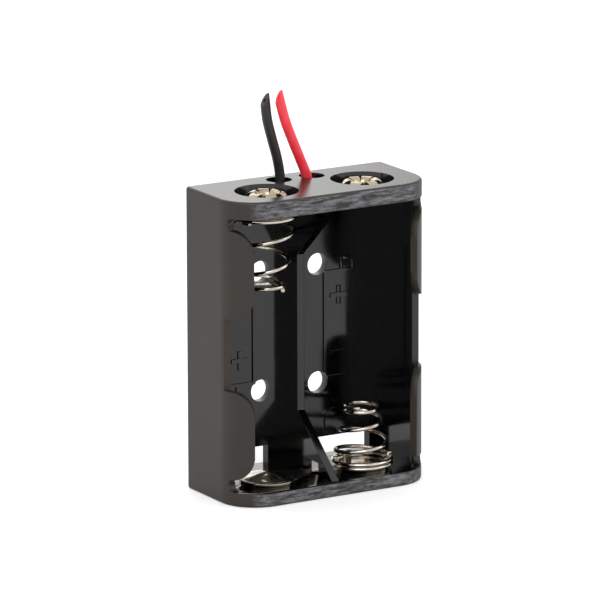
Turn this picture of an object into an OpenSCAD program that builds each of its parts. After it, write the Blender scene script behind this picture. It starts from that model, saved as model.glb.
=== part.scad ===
// Open holder for two N-size cells that lie side by side, nose to tail, with two short leads.
// Millimetres. X runs across the two bays, -Y is the open front and +Z runs along the cells.
// The origin is the centre of the lower end wall's underside.

/* [Cells] */
// Diameter of a cell
cell_d = 12; // [11:0.1:14.5]
// Length of a cell over its nose
cell_len = 30.2; // [28:0.1:44]
// Room left over across each bay
bay_play = 0.1; // [0.05:0.05:0.4]
// Room along a cell for its contacts and the pressed spring
contact_room = 2.8; // [2.4:0.1:4]
// How far a seated cell stands proud of the front
cell_proud = 0.4; // [0:0.1:1.5]

/* [Case walls] */
// Thickness of the side walls
wall_t = 0.9; // [0.7:0.05:1.4]
// Thickness of the back wall
back_t = 1.2; // [1:0.05:2]
// Thickness of the upper end wall
top_t = 2.1; // [1.9:0.05:3]
// Thickness of the lower end wall
base_t = 1.7; // [1.2:0.05:2.5]
// Plan radius of the two front corners
corner_r = 4.7; // [3.5:0.1:5.5]
// Radius of the back edges and of the end walls' side edges
edge_r = 0.9; // [0.4:0.05:1]

/* [Lips] */
// Height of the side walls between the lips, above the cells' floor
wall_h = 7.7; // [6:0.1:8.2]
// Angle that the lips curl round the front corners
lip_wrap = 60; // [45:1:75]
// Length of each lip
lip_len = 10.65; // [7:0.05:12]
// Width of the notch between a lip and the end wall
notch_w = 1.5; // [1:0.05:3]
// How far the notch stops in front of the side wall's low edge
notch_step = 0.6; // [0:0.1:1.5]
// Radius of the lips' free corners
lip_corner_r = 2; // [0.8:0.1:2.4]

/* [Rib between the bays] */
// Thickness of the rib and its gussets
rib_t = 1; // [0.8:0.05:1.3]
// Height of the rib above the cells' floor
rib_h = 2.75; // [2:0.05:4]
// How far the gussets run in front of the rib
gusset_run = 7.95; // [6:0.05:8.2]
// How far the gussets run along the rib
gusset_rise = 7; // [5:0.1:9]
// Height of the slot that the bridge strip passes through
slot_h = 1.5; // [1:0.1:2]
// Width of that slot
slot_gate_w = 3; // [1.6:0.1:4]

/* [Openings in the back wall] */
// Diameter of the four round holes
floor_hole_d = 2.7; // [2:0.1:3.2]
// Distance between the holes across the bays
floor_hole_dx = 7.88; // [6:0.02:9]
// Distance between the holes along the bays
floor_hole_dz = 14.55; // [10:0.05:16]
// Distance of the slots' inner ends from the middle
slot_inner_x = 3; // [2:0.1:4]
// Length of each slot
slot_len = 8.2; // [5:0.1:9]
// Width of each slot
slot_w = 2.4; // [1.5:0.1:3]

/* [Marks on the cells' floor] */
// Height of the pads and discs above the floor
mark_h = 0.2; // [0.1:0.05:0.3]
// Width of a marking pad
pad_w = 4.2; // [3:0.1:5]
// Length of a marking pad
pad_len = 13.35; // [10:0.05:14]
// Distance from the middle to a pad
pad_x = 4.75; // [4:0.05:5.5]
// Distance from the lower end wall to the right pad
pad_z = 9.5; // [8:0.1:11]
// Width of a pad's border
pad_rim = 0.35; // [0.2:0.05:0.8]
// Width and length of the pad's nose, which gives it a cell's outline
nose_size = 1.9; // [1:0.1:2.5]
// Diameter of the ejector discs
disc_d = 3.4; // [2:0.1:4]
// Distance from an end wall to the discs near it
disc_z = 4.2; // [3:0.1:6]

/* [Upper end wall] */
// Diameter of the round wells
well_d = 7.6; // [6.5:0.1:9]
// Depth of the wells
well_depth = 1.2; // [0.8:0.05:1.4]
// Diameter of the wire holes
wire_hole_d = 3.1; // [2.4:0.1:3.4]
// Distance between the wire holes
wire_hole_dx = 4.5; // [4.2:0.1:6]

/* [Contacts] */
// Thickness of the contact sheet
sheet_t = 0.3; // [0.2:0.05:0.4]
// Radius of the button pad
pad_r = 3.4; // [2.8:0.1:4]
// Width of the contact plate across the bay
plate_w = 6.2; // [5.5:0.1:7]
// Width of the contact plate from front to back
plate_l = 6.6; // [5.5:0.1:7]
// Corner radius of the contact plate
plate_r = 1.8; // [0.8:0.1:2.4]
// Width of the bridge strip where it passes the rib
neck_w = 1.2; // [0.8:0.1:2.4]
// Diameter of the dome on the button pad
dome_d = 3.4; // [2.4:0.1:4]
// Height of the dome
dome_h = 0.6; // [0.4:0.05:0.8]
// Width of the solder tags
tag_w = 1.6; // [1.2:0.1:2]
// Room between a tag's end and its lead
tag_clear = 0.25; // [0.1:0.05:0.6]

/* [Springs] */
// Wire diameter
wire_d = 0.5; // [0.35:0.05:0.6]
// Radius of the wire's centre line in the base turns
coil_base_r = 3.5; // [3:0.05:3.8]
// Radius of the wire's centre line at the free end
coil_tip_r = 2; // [1.5:0.05:2.4]
// Number of turns
coil_turns = 5.1; // [4:0.1:6]
// Turns that lie against each other at the base
base_turns = 1.45; // [1:0.05:1.6]
// Turns that lie against each other at the free end
tip_turns = 1.15; // [1:0.05:1.6]
// Room between turns that lie against each other
turn_gap = 0.02; // [0.01:0.01:0.1]
// Free length of the left spring
left_len = 10; // [7:0.1:11]
// Free length of the right spring
right_len = 7.7; // [6:0.1:11]
// Clearance between the wire and the plate with its claws
claw_clear = 0.04; // [0.02:0.01:0.08]
// Thickness of the claws
claw_t = 0.22; // [0.15:0.01:0.25]
// Width of the claws
claw_w = 1.1; // [0.8:0.1:1.6]

/* [Eyelets] */
// Outer diameter of the barrel
barrel_d = 2.5; // [2:0.1:3]
// Wall of the barrel
barrel_t = 0.28; // [0.2:0.02:0.35]
// Clearance of the barrel in its hole
barrel_clear = 0.05; // [0.02:0.01:0.1]
// Diameter of the head inside the holder
head_d = 4.4; // [3.6:0.1:5]
// Inner radius of the rolled petals
roll_r = 0.5; // [0.35:0.05:0.55]
// Height of the barrel above the well's floor, where it splits
petal_lift = 0.3; // [0:0.05:0.4]
// Number of petals
petals = 6; // [4:1:8]
// Opening of the split between two petals at their tips
split_w = 1.1; // [0.6:0.1:1.4]

/* [Leads] */
// Outer diameter of the insulation
lead_d = 1.2; // [1:0.05:1.5]
// Diameter of the strands
core_d = 0.5; // [0.4:0.05:0.6]
// Radius of a solder joint
solder_r = 0.75; // [0.6:0.05:0.9]
// Room between a joint and the spring beside it
solder_clear = 0.1; // [0.05:0.05:0.3]

/* [Hidden] */
$fn = 64;
eps = 0.01;

// Case
bay_w = cell_d + bay_play;
bay_x = (rib_t + bay_w) / 2;
case_w = 2 * (bay_w + wall_t) + rib_t;
case_h = base_t + cell_len + contact_room + top_t;
case_d = back_t + cell_d - cell_proud;
front_y = -case_d / 2;
back_y = case_d / 2;
floor_y = back_y - back_t;
axis_y = floor_y - cell_d / 2;
bay_z0 = base_t;
bay_z1 = case_h - top_t;
mid_z = (bay_z0 + bay_z1) / 2;
corner_x = case_w / 2 - corner_r;
corner_y = front_y + corner_r;
rib_y = floor_y - rib_h;
gusset_y = rib_y - gusset_run;
well_z = case_h - well_depth;
wire_hole_y = floor_y - wire_hole_d / 2;

// Contacts and springs
seat_r = coil_base_r - wire_d / 2 - claw_clear;
upper_seat_z = bay_z1 - sheet_t;
coil_start = 195;
coil_steps = 22;
coil_sides = 8;
// Each claw: turns from the wire's start, and how many further turns it hooks over
claw_turns = [[0.42, 1], [0.72, 0], [0.9, 0]];
barrel_hole_d = barrel_d + 2 * barrel_clear;
roll_x = barrel_d / 2 + roll_r;
split_z = well_z + petal_lift;

// The tags point at their wire holes and stop beside the leads; the joints sit outside the spring
tag_dx = bay_x - wire_hole_dx / 2;
tag_dy = wire_hole_y - axis_y;
tag_angle = atan2(tag_dy, tag_dx);
tag_len = norm([tag_dx, tag_dy]) - lead_d / 2 - tag_clear;
joint_at = coil_base_r + wire_d / 2 + solder_clear + solder_r;

// Leads, each from its lower end inside the holder to the cut end
lead_sides = 8;
black_route = [
    [-2.1, 3.9, 34.1], [-1.9, 4.1, 35.6], [-1.8, 4.2, 37.2], [-2.2, 4.2, 39.4],
    [-2.9, 4.2, 41.8], [-3.5, 4.2, 44.1], [-3.8, 4.2, 46.5]
];
red_route = [
    [2, 3.6, 34.1], [1.7, 3.4, 35.6], [1.3, 3.3, 37.1], [0.4, 3.3, 39.2],
    [-0.6, 3.3, 41.5], [-1.6, 3.3, 44], [-2.4, 3.3, 46.8]
];
// Slope of the cut ends, rising to the right
cut_slope = 1.25;

function unit(v) = v / norm(v);

// Direction of a route at point i
function heading(p, i) = unit(p[min(i + 1, len(p) - 1)] - p[max(i - 1, 0)]);

// Points of one ring of a tube, across the route's direction t
function ring_points(c, t, r, sides, slope = 0) = let (
    u = unit(cross([0, 1, 0], t)),
    v = cross(t, u)
) [
    for (j = [0 : sides - 1]) let (a = 360 * j / sides)
        c + r * (cos(a) * u + sin(a) * v + slope * cos(a) * t)
];

// Triangles of a closed tube of rings
function tube_faces(rings, sides) = concat(
    [for (i = [0 : rings - 2], j = [0 : sides - 1])
        [i * sides + j, (i + 1) * sides + j, i * sides + (j + 1) % sides]],
    [for (i = [0 : rings - 2], j = [0 : sides - 1])
        [(i + 1) * sides + j, (i + 1) * sides + (j + 1) % sides, i * sides + (j + 1) % sides]],
    [[for (j = [0 : sides - 1]) j]],
    [[for (j = [0 : sides - 1]) rings * sides - 1 - j]]
);

// Position between the base turns (0) and the tip turns (1) after t turns
function coil_u(t) = min(1, max(0, (t - base_turns) / (coil_turns - base_turns - tip_turns)));

// Height of the wire's centre line above its seat: closed ends, and a pitch that opens between them
function coil_z(t, length) = let (pitch = wire_d + turn_gap, u = coil_u(t))
    wire_d / 2 + pitch * t + (length - wire_d - pitch * coil_turns) * (u - 0.03 * sin(360 * u));
function coil_radius(t) = coil_base_r + (coil_tip_r - coil_base_r) * coil_u(t);
function coil_angle(t) = coil_start + 360 * t;

// Rectangle from y0 to y1, centred on x, with its own corner radius at each end; 0 leaves a corner sharp
module round_rect(w, y0, y1, r0, r1) {
    translate([-w / 2, y0 + r0])
        square([w, y1 - y0 - r0 - r1]);
    if (r0 > 0) {
        translate([-w / 2 + r0, y0])
            square([w - 2 * r0, r0 + eps]);
        for (s = [-1, 1])
            translate([s * (w / 2 - r0), y0 + r0])
                circle(r = r0);
    }
    if (r1 > 0) {
        translate([-w / 2 + r1, y1 - r1 - eps])
            square([w - 2 * r1, r1 + eps]);
        for (s = [-1, 1])
            translate([s * (w / 2 - r1), y1 - r1])
                circle(r = r1);
    }
}

// Lifts a drawing in Y and Z along X, centred
module along_x(length) {
    translate([-length / 2, 0, 0])
        rotate([90, 0, 90])
            linear_extrude(length)
                children();
}

// Lifts a drawing in X and Z along Y, from y0 to y1
module along_y(y0, y1) {
    translate([0, y1, 0])
        rotate([90, 0, 0])
            linear_extrude(y1 - y0)
                children();
}

// Places its children at both sides, the left one mirrored
module both_sides() {
    children();
    mirror([1, 0, 0])
        children();
}

// Outer form: the plan, cut to the rounded outlines seen from the front and from the side
module case_block() {
    intersection() {
        linear_extrude(case_h)
            round_rect(case_w, front_y, back_y, corner_r, edge_r);
        along_y(front_y - 1, back_y + 1)
            round_rect(case_w, 0, case_h, edge_r, edge_r);
        along_x(case_w + 2)
            rotate([0, 0, -90])
                translate([-case_h / 2, 0])
                    round_rect(case_h, front_y, back_y, 0, edge_r);
    }
}

// Both bays in plan: full width behind the lips, the lips' inner curve, then the open front
module bay_plan() {
    mouth_x = corner_x + 2 * corner_r * cos(lip_wrap);
    mouth_y = corner_y - 2 * corner_r * sin(lip_wrap);
    round_rect(case_w - 2 * wall_t, front_y + wall_t, floor_y, corner_r - wall_t, 0);
    polygon([[corner_x, corner_y], [mouth_x, mouth_y], [-mouth_x, mouth_y], [-corner_x, corner_y]]);
}

// Side view of what is cut from a side wall, in Y and Z: the window, the two notches and the lips' free corners
module wall_cut_outline() {
    front = front_y - 1;
    lip_y = corner_y - corner_r * sin(lip_wrap);
    lip_z = bay_z0 + notch_w;
    window = bay_z1 - bay_z0 - 2 * (notch_w + lip_len);
    wall_y = floor_y - wall_h;
    translate([front, mid_z - window / 2])
        square([wall_y - front, window]);
    for (s = [-1, 1])
        translate([0, mid_z + s * (mid_z - bay_z0)]) {
            // Notch with a round end, beside the end wall
            translate([front, -(s + 1) / 2 * notch_w])
                square([wall_y - notch_step - notch_w / 2 - front, notch_w]);
            translate([wall_y - notch_step - notch_w / 2, -s * notch_w / 2])
                circle(d = notch_w);
        }
    for (z = [lip_z, lip_z + lip_len, bay_z1 - notch_w - lip_len, bay_z1 - notch_w])
        lip_corner(lip_y, z, z == lip_z || z > mid_z && z < bay_z1 - notch_w ? 1 : -1);
}

// What is outside a lip's rounded free corner at height z; side is 1 below the lip and -1 above it
module lip_corner(lip_y, z, side) {
    difference() {
        translate([lip_y - 1, side > 0 ? z - eps : z - lip_corner_r])
            square([lip_corner_r + 1, lip_corner_r + eps]);
        translate([lip_y + lip_corner_r, z + side * lip_corner_r])
            circle(r = lip_corner_r);
    }
}

// Cuts a side wall's outline out of the right side wall
module wall_cut() {
    translate([corner_x + corner_r * cos(lip_wrap) / 2, 0, 0])
        rotate([90, 0, 90])
            linear_extrude(corner_r)
                wall_cut_outline();
}

// The rib with a gusset at each end, seen from the side and let into the walls around it
module rib_outline() {
    y1 = back_y - back_t / 2;
    let_in = base_t / 2;
    polygon([
        [y1, bay_z0 - let_in],
        [gusset_y, bay_z0 - let_in],
        [gusset_y, bay_z0],
        [rib_y, bay_z0 + gusset_rise],
        [rib_y, bay_z1 - gusset_rise],
        [gusset_y, bay_z1],
        [gusset_y, bay_z1 + let_in],
        [y1, bay_z1 + let_in]
    ]);
}

// Raised border in a cell's outline, with a small window in its nose
module marking_pad() {
    nose_x = pad_x + pad_w / 2 - nose_size / 2;
    nose_z = pad_z + pad_len;
    along_y(floor_y - mark_h, floor_y + mark_h)
        difference() {
            union() {
                translate([pad_x, pad_z])
                    square([pad_w, pad_len]);
                translate([nose_x, nose_z - eps])
                    square([nose_size, nose_size * 0.8]);
            }
            translate([pad_x + pad_rim, pad_z + pad_rim])
                square([pad_w - 2 * pad_rim, pad_len - 2 * pad_rim]);
            translate([nose_x + pad_rim, nose_z])
                square([nose_size - 2 * pad_rim, nose_size * 0.8 - pad_rim]);
        }
}

// The right half's marks: the pad and two ejector discs
module floor_marks() {
    translate([0, 0, bay_z0])
        marking_pad();
    for (z = [bay_z0 + disc_z, bay_z1 - disc_z])
        translate([bay_x, 0, z])
            rotate([90, 0, 0])
                translate([0, 0, -floor_y - mark_h])
                    cylinder(d = disc_d, h = 2 * mark_h);
}

// Everything cut from the right half of the case, apart from the bay
module case_cuts() {
    wall_cut();
    translate([slot_inner_x, axis_y, bay_z0])
        cube([slot_len, case_d, slot_w]);
    translate([bay_x, axis_y, well_z])
        cylinder(d = well_d, h = well_depth + 1);
    translate([bay_x, axis_y, bay_z1 - 1])
        cylinder(d = barrel_hole_d, h = top_t);
    translate([wire_hole_dx / 2, wire_hole_y, bay_z1 - 1])
        cylinder(d = wire_hole_d, h = top_t + 2);
}

// The four holes for screws through the back wall
module back_holes() {
    for (x = [-1, 1], z = [-1, 1])
        translate([x * floor_hole_dx / 2, 0, mid_z + z * floor_hole_dz / 2])
            rotate([-90, 0, 0])
                cylinder(d = floor_hole_d, h = case_d);
}

module case() {
    color([0.06, 0.06, 0.065])
        difference() {
            union() {
                difference() {
                    case_block();
                    translate([0, 0, bay_z0])
                        linear_extrude(bay_z1 - bay_z0)
                            bay_plan();
                    both_sides()
                        case_cuts();
                }
                along_x(rib_t)
                    rib_outline();
                floor_marks();
                translate([0, 0, 2 * mid_z])
                    rotate([0, 180, 0])
                        floor_marks();
            }
            back_holes();
            translate([-rib_t, axis_y - slot_gate_w / 2, bay_z0])
                cube([2 * rib_t, slot_gate_w, slot_h]);
        }
}

// A claw on the plate's edge that hooks over the wire t turns on, and over more turns above; z = 0 is the seat
module claw(t, more, length) {
    top = coil_z(t + more, length) + wire_d / 2 + claw_clear;
    rotate([0, 0, coil_angle(t)])
        translate([0, claw_w / 2, 0])
            rotate([90, 0, 0])
                linear_extrude(claw_w)
                    polygon([
                        [seat_r - 2 * claw_t, 0],
                        [seat_r, 0],
                        [seat_r, top],
                        [coil_base_r, top],
                        [coil_base_r, top + claw_t],
                        [seat_r - claw_t, top + claw_t],
                        [seat_r - claw_t, sheet_t],
                        [seat_r - 2 * claw_t, sheet_t]
                    ]);
}

// Round plate inside the base turns, with three claws over a coil of the given length
module coil_seat(length) {
    cylinder(r = seat_r, h = sheet_t);
    for (c = claw_turns)
        claw(c[0], c[1], length);
}

// Plan of a round plate of radius r that blends into the strip's neck towards +X
module neck_blend(r) {
    run = bay_x - rib_t;
    h = neck_w / 2;
    blend_r = (run * run + h * h - r * r) / (2 * (r - h));
    edge_y = (h + blend_r) * r / (r + blend_r);
    circle(r = r);
    difference() {
        translate([0, -edge_y])
            square([run + eps, 2 * edge_y]);
        for (s = [-1, 1])
            translate([run, s * (h + blend_r)])
                circle(r = blend_r);
    }
}

// Strip on the lower end wall: button under the left cell, neck through the rib, seat of the right spring
module bridge_strip() {
    dome_r = (dome_h * dome_h + dome_d * dome_d / 4) / (2 * dome_h);
    dome_z = sheet_t + dome_h - dome_r;
    color([0.72, 0.68, 0.6])
        translate([0, axis_y, bay_z0]) {
            difference() {
                union() {
                    linear_extrude(sheet_t) {
                        translate([-bay_x, 0])
                            neck_blend(pad_r);
                        translate([-rib_t - eps, -neck_w / 2])
                            square([bay_x + rib_t, neck_w]);
                    }
                    translate([-bay_x, 0, dome_z])
                        intersection() {
                            sphere(r = dome_r);
                            translate([0, 0, dome_r - dome_h - eps])
                                cylinder(d = 2 * dome_d, h = dome_h + 1);
                        }
                }
                // Hollow of the dome from below
                translate([-bay_x, 0, dome_z])
                    sphere(r = dome_r - sheet_t);
            }
            translate([bay_x, 0, 0])
                coil_seat(right_len);
        }
}

// Solder tag from a plate at the origin towards the wire hole, for the right side
module solder_tag() {
    rotate([0, 0, 180 - tag_angle])
        translate([0, -tag_w / 2, 0])
            cube([tag_len - tag_w / 2, tag_w, sheet_t]);
    rotate([0, 0, 180 - tag_angle])
        translate([tag_len - tag_w / 2, 0, 0])
            cylinder(d = tag_w, h = sheet_t);
}

// Seat of the left spring, under the upper end wall
module spring_plate() {
    color([0.72, 0.68, 0.6])
        translate([-bay_x, axis_y, bay_z1])
            difference() {
                union() {
                    rotate([0, 180, 0])
                        coil_seat(left_len);
                    translate([0, 0, -sheet_t])
                        mirror([1, 0, 0])
                            solder_tag();
                }
                translate([0, 0, -1])
                    cylinder(d = barrel_hole_d, h = 2);
            }
}

// Contact of the right cell, under the upper end wall
module contact_plate() {
    color([0.72, 0.68, 0.6])
        translate([bay_x, axis_y, upper_seat_z])
            difference() {
                union() {
                    linear_extrude(sheet_t)
                        round_rect(plate_w, -plate_l / 2, plate_l / 2, plate_r, plate_r);
                    solder_tag();
                }
                translate([0, 0, -1])
                    cylinder(d = barrel_hole_d, h = 2);
            }
}

// Conical wire spring that stands on z = 0
module coil(length) {
    rings = ceil(coil_turns * coil_steps);
    points = [
        for (i = [0 : rings]) let (
            t = coil_turns * i / rings,
            a = coil_angle(t)
        ) for (j = [0 : coil_sides - 1]) let (b = 360 * j / coil_sides)
            [
                (coil_radius(t) + wire_d / 2 * cos(b)) * cos(a),
                (coil_radius(t) + wire_d / 2 * cos(b)) * sin(a),
                coil_z(t, length) + wire_d / 2 * sin(b)
            ]
    ];
    polyhedron(points, tube_faces(rings + 1, coil_sides), convexity = 8);
}

module spring_left() {
    color([0.78, 0.74, 0.68])
        translate([-bay_x, axis_y, bay_z1])
            rotate([0, 180, 0])
                coil(left_len);
}

module spring_right() {
    color([0.78, 0.74, 0.68])
        translate([bay_x, axis_y, bay_z0])
            coil(right_len);
}

// Eyelet: flat head inside the holder, barrel through the wall, end split and rolled into petals
module eyelet(x) {
    bore_r = barrel_d / 2 - barrel_t;
    color([0.76, 0.68, 0.5])
        translate([x, axis_y, 0])
            difference() {
                rotate_extrude() {
                    translate([bore_r, upper_seat_z - sheet_t])
                        square([head_d / 2 - bore_r, sheet_t]);
                    translate([bore_r, upper_seat_z - sheet_t])
                        square([barrel_t, split_z - upper_seat_z + sheet_t + eps]);
                    translate([roll_x, split_z])
                        intersection() {
                            difference() {
                                circle(r = roll_r + barrel_t);
                                circle(r = roll_r);
                            }
                            translate([-2 * roll_x, 0])
                                square([4 * roll_x, 2 * roll_x]);
                        }
                }
                // Splits between the petals, widening towards their tips
                for (i = [0 : petals - 1])
                    rotate([0, 0, 360 * (i + 0.5) / petals])
                        translate([0, 0, split_z - eps])
                            linear_extrude(2)
                                polygon([
                                    [barrel_d / 2 - eps, 0],
                                    [roll_x + roll_r + 1, -split_w / 2],
                                    [roll_x + roll_r + 1, split_w / 2]
                                ]);
            }
}

module eyelet_left() {
    eyelet(-bay_x);
}

module eyelet_right() {
    eyelet(bay_x);
}

// Plain tube along a route, its last ring cut at a slant
module tube(route, d, slope = 0) {
    last = len(route) - 1;
    points = [
        for (i = [0 : last])
            each ring_points(route[i], heading(route, i), d / 2, lead_sides, i == last ? slope : 0)
    ];
    polyhedron(points, tube_faces(last + 1, lead_sides), convexity = 4);
}

module black_lead() {
    color([0.05, 0.05, 0.055])
        tube(black_route, lead_d, cut_slope);
}

module red_lead() {
    color([0.75, 0.05, 0.04])
        tube(red_route, lead_d, cut_slope);
}

// Centre of a solder joint on its tag's underside; side is -1 on the left and 1 on the right
function joint_point(side) = [
    side * (bay_x - joint_at * cos(tag_angle)),
    axis_y + joint_at * sin(tag_angle),
    upper_seat_z
];

// Bare strands from the end of the insulation to the tag
function core_route(start, side) = let (end = joint_point(side)) [
    start,
    start + [0, -0.1, -core_d],
    [(start[0] + end[0]) / 2, (start[1] + end[1]) / 2, upper_seat_z - 1.6 * core_d],
    end + [0, 0, -core_d / 2 - eps]
];

module black_core() {
    color([0.72, 0.42, 0.25])
        tube(core_route(black_route[0], -1), core_d);
}

module red_core() {
    color([0.72, 0.42, 0.25])
        tube(core_route(red_route[0], 1), core_d);
}

// Drop of solder under a tag, around the end of the strands
module solder(side) {
    color([0.7, 0.7, 0.72])
        translate(joint_point(side))
            intersection() {
                translate([0, 0, solder_r * 0.35])
                    sphere(r = solder_r);
                translate([0, 0, -2 * solder_r])
                    cylinder(r = 2 * solder_r, h = 2 * solder_r);
            }
}

module black_solder() {
    difference() {
        solder(-1);
        black_core();
    }
}

module red_solder() {
    difference() {
        solder(1);
        red_core();
    }
}

case();
bridge_strip();
spring_plate();
contact_plate();
spring_left();
spring_right();
eyelet_left();
eyelet_right();
black_lead();
red_lead();
black_core();
red_core();
black_solder();
red_solder();
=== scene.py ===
import math
import random

import bmesh
import bpy
from mathutils import Matrix, Vector, noise


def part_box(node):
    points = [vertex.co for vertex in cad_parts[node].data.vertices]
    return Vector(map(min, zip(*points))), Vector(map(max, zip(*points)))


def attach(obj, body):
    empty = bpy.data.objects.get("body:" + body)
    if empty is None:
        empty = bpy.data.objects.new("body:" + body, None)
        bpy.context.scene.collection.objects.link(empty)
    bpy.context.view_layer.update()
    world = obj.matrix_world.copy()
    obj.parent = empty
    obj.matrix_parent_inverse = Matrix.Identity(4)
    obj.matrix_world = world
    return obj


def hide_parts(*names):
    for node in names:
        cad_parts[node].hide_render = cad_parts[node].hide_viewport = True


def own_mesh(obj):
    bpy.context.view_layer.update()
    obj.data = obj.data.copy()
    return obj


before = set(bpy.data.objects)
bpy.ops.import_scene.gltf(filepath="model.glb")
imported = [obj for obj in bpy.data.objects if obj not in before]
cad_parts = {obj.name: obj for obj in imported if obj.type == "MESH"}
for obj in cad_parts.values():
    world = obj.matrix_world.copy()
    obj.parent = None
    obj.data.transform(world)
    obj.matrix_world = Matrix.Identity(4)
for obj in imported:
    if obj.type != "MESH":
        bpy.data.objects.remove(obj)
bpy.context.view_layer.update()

# Dressing of the open holder for two cells: metres, X across the bays, -Y the open front, +Z along the cells.
# The case is drawn in millimetres and scaled once, when its parts are joined.
mm = 0.001
scene = bpy.context.scene
caseLow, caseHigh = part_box("case")
print("frame loaded, case", [round(v / mm, 2) for v in caseHigh - caseLow], "mm")

# millimetres: the contacts' axes (X on either side), the end walls' inner faces, and the height between them
bay = {"axisX": 6.55, "axisY": -0.8, "low": 1.7, "high": 34.7, "middle": 18.2}


def addNode(tree, kind, inputs={}, **settings):
    # a whole node among the inputs stands for its first output
    node = tree.nodes.new(kind)
    for name, value in settings.items():
        setattr(node, name, value)
    for name, value in inputs.items():
        if isinstance(value, bpy.types.Node):
            value = value.outputs[0]
        if isinstance(value, bpy.types.NodeSocket):
            tree.links.new(value, node.inputs[name])
        else:
            node.inputs[name].default_value = value
    return node


def toLinear(hexColour):
    channels = [int(hexColour[i:i + 2], 16) / 255 for i in (1, 3, 5)]
    return [c / 12.92 if c <= 0.04045 else ((c + 0.055) / 1.055) ** 2.4 for c in channels] + [1]


def newMaterial(name, hexColour, **shaderInputs):
    material = bpy.data.materials.new(name)
    material.use_nodes = True
    shader = material.node_tree.nodes["Principled BSDF"]
    shader.inputs["Base Color"].default_value = toLinear(hexColour)
    for key, value in shaderInputs.items():
        shader.inputs[key.replace("_", " ")].default_value = value
    return material, material.node_tree, shader


def toMesh(name, work):
    mesh = bpy.data.meshes.new(name)
    work.to_mesh(mesh)
    work.free()
    return mesh


def newPiece(name, mesh, material=None):
    piece = bpy.data.objects.new(name, mesh)
    scene.collection.objects.link(piece)
    if material:
        mesh.materials.clear()
        mesh.materials.append(material)
    return piece


camera = {"azimuth": -30.76, "elevation": 13.89, "roll": -0.13, "distance": 0.7059, "targetZ": 0.0184,
          "sensor": 36, "lens": 357.06, "shiftX": -0.0190, "shiftY": 0.0578, "clip": (0.02, 20)}


def addCamera(settings):
    azimuth, elevation = math.radians(settings["azimuth"]), math.radians(settings["elevation"])
    direction = Vector((math.sin(azimuth) * math.cos(elevation), -math.cos(azimuth) * math.cos(elevation),
                        math.sin(elevation)))
    data = bpy.data.cameras.new("viewCamera")
    data.sensor_width, data.lens = settings["sensor"], settings["lens"]
    data.shift_x, data.shift_y = settings["shiftX"], settings["shiftY"]
    data.clip_start, data.clip_end = settings["clip"]
    view = bpy.data.objects.new("viewCamera", data)
    roll = Matrix.Rotation(math.radians(settings["roll"]), 3, "Z")
    turn = direction.to_track_quat("Z", "Y").to_matrix() @ roll
    place = Vector((0, 0, settings["targetZ"])) + settings["distance"] * direction
    view.matrix_world = Matrix.Translation(place) @ turn.to_4x4()
    scene.collection.objects.link(view)
    scene.camera = view


light = {"skyLevel": 0.95, "seenLevel": 1.0, "floorGlow": 0.30, "floorSize": 6.0, "aimZ": 0.02,
         # name: place, size, watts
         "lamps": {"keyLamp": ((-0.35, -0.42, 0.50), 0.45, 1.4),
                   "fillLamp": ((0.50, -0.35, 0.30), 0.40, 0.5),
                   "rearLamp": ((0.10, 0.55, 0.30), 0.50, 0.6)}}


def addLight(settings):
    for name, (place, size, watts) in settings["lamps"].items():
        data = bpy.data.lights.new(name, "AREA")
        data.size, data.energy = size, watts
        lamp = bpy.data.objects.new(name, data)
        lamp.location = place
        lamp.rotation_euler = (Vector(place) - Vector((0, 0, settings["aimZ"]))).to_track_quat("Z", "Y").to_euler()
        scene.collection.objects.link(lamp)
    # the sky is plain white to the eye and in gloss, and softer as a light
    world = bpy.data.worlds.new("studioSky")
    scene.world = world
    world.use_nodes = True
    tree = world.node_tree
    tree.nodes.clear()
    rays = addNode(tree, "ShaderNodeLightPath").outputs
    seen = addNode(tree, "ShaderNodeMath", {0: rays["Is Camera Ray"], 1: rays["Is Glossy Ray"]}, operation="MAXIMUM")
    seen = addNode(tree, "ShaderNodeMath", {0: seen, 1: rays["Is Transmission Ray"]}, operation="MAXIMUM")
    level = addNode(tree, "ShaderNodeMapRange", {0: seen, 3: settings["skyLevel"], 4: settings["seenLevel"]})
    sky = addNode(tree, "ShaderNodeBackground", {"Color": (1, 1, 1, 1), "Strength": level})
    addNode(tree, "ShaderNodeOutputWorld", {0: sky})
    # painted white table: its glow to the eye lifts it to white and leaves the object's shadow on it
    paint, tree, shader = newMaterial("whitePaintedTable", "#ebebeb", Roughness=0.7)
    rays = addNode(tree, "ShaderNodeLightPath").outputs
    glow = addNode(tree, "ShaderNodeMath", {0: rays["Is Camera Ray"], 1: settings["floorGlow"]}, operation="MULTIPLY")
    emission = addNode(tree, "ShaderNodeEmission", {"Color": (1, 1, 1, 1), "Strength": glow})
    both = addNode(tree, "ShaderNodeAddShader", {0: shader, 1: emission})
    tree.links.new(both.outputs[0], tree.nodes["Material Output"].inputs[0])
    half = settings["floorSize"] / 2
    mesh = bpy.data.meshes.new("studioFloor")
    mesh.from_pydata([(-half, -half, 0), (half, -half, 0), (half, half, 0), (-half, half, 0)], [], [(0, 1, 2, 3)])
    newPiece("studioFloor", mesh, paint)


addCamera(camera)
addLight(light)
print("camera and light placed")


def smoothAll(mesh):
    mesh.polygons.foreach_set("use_smooth", [True] * len(mesh.polygons))


def cleanCopy(name, node, material):
    # a CAD node's triangles merged into whole faces, ready for a bevel
    work = bmesh.new()
    work.from_mesh(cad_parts[node].data)
    bmesh.ops.remove_doubles(work, verts=work.verts, dist=2e-6)
    bmesh.ops.dissolve_limit(work, angle_limit=math.radians(0.6), verts=work.verts, edges=work.edges)
    return newPiece(name, toMesh(name, work), material)


def keepModified(piece):
    mesh = bpy.data.meshes.new_from_object(piece.evaluated_get(bpy.context.evaluated_depsgraph_get()))
    piece.modifiers.clear()
    piece.data = mesh


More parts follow.
